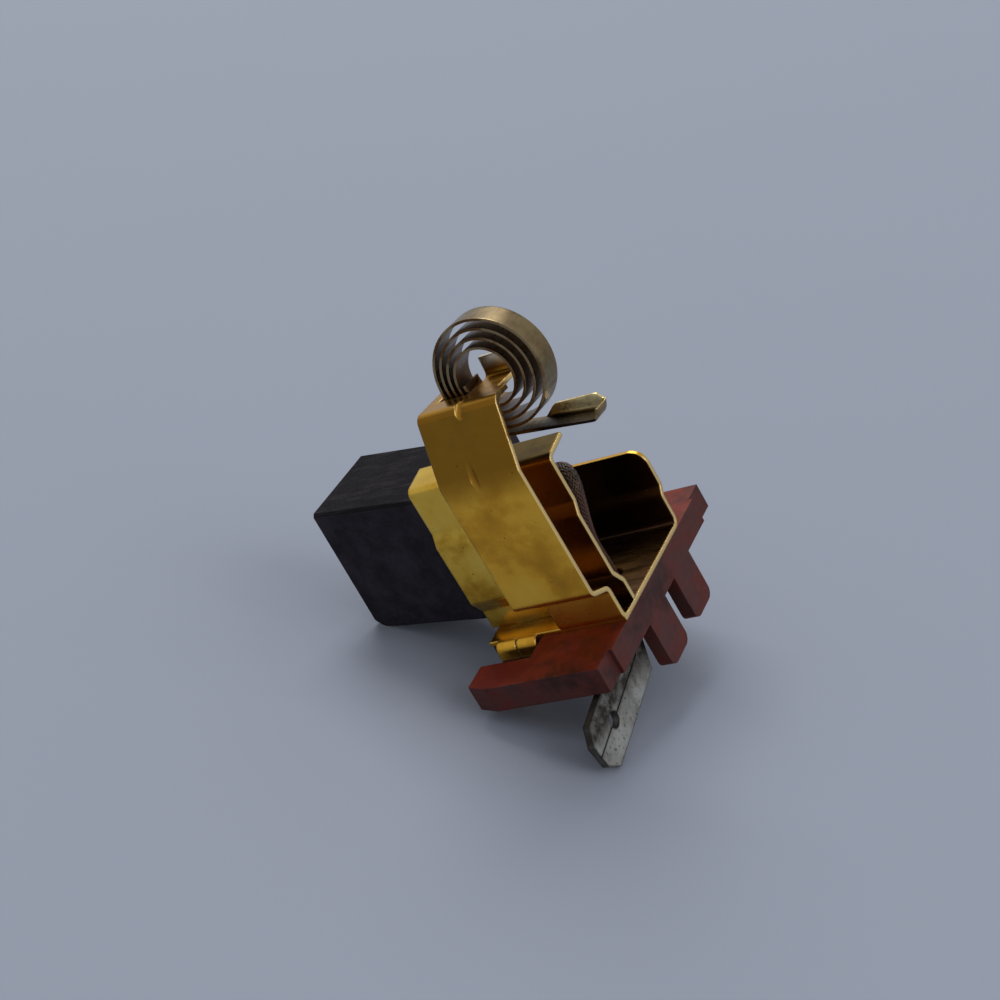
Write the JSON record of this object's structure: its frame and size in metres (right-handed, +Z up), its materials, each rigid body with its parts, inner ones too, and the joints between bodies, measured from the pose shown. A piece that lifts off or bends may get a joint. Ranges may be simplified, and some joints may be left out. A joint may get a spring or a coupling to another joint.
{
  "type": "carbon brush with holder",
  "caption": "Carbon brush in a sheet-brass box holder on a moulded insulating base, with a spiral pressure spring on a bent bracket and a flat push-on terminal.",
  "frame": {"origin": "middle of the base plate's flat underside", "axes": "+Z up from the base plate through the holder; +X out of the holder's open rear end, so the brush meets its commutator on the -X side; +Y from the bracket and terminal side to the low wall side"},
  "size_m": [0.0422, 0.0362, 0.0452],
  "materials": {
    "moulded_base": "moulded, satin",
    "brass_sheet": "rolled sheet, satin",
    "brass_guide": "rolled sheet, satin",
    "carbon": "pressed electrographite, matt",
    "spring_strip": "rolled strip, heat tinted",
    "tinned_tab": "tinned brass, stained",
    "copper_braid": "braided fine copper wire",
    "copper_plug": "tamped copper powder",
    "solder": "soft solder"
  },
  "bodies": {
    "holder": {"base_plate": "moulded_base", "brush_box": "brass_sheet", "guide_wall": "brass_guide", "coil_spring": "spring_strip", "terminal_tab": "tinned_tab", "shunt_braid": "copper_braid", "solder_joint": "solder"},
    "brush": {"carbon_block": "carbon", "shunt_plug": "copper_plug"}
  },
  "joints": [
    {"name": "brush_slide", "type": "slide", "parent": "holder", "child": "brush", "axis": [1, 0, 0], "range_m": [-0.003, 0.006], "deforming": ["shunt_braid"]}
  ]
}
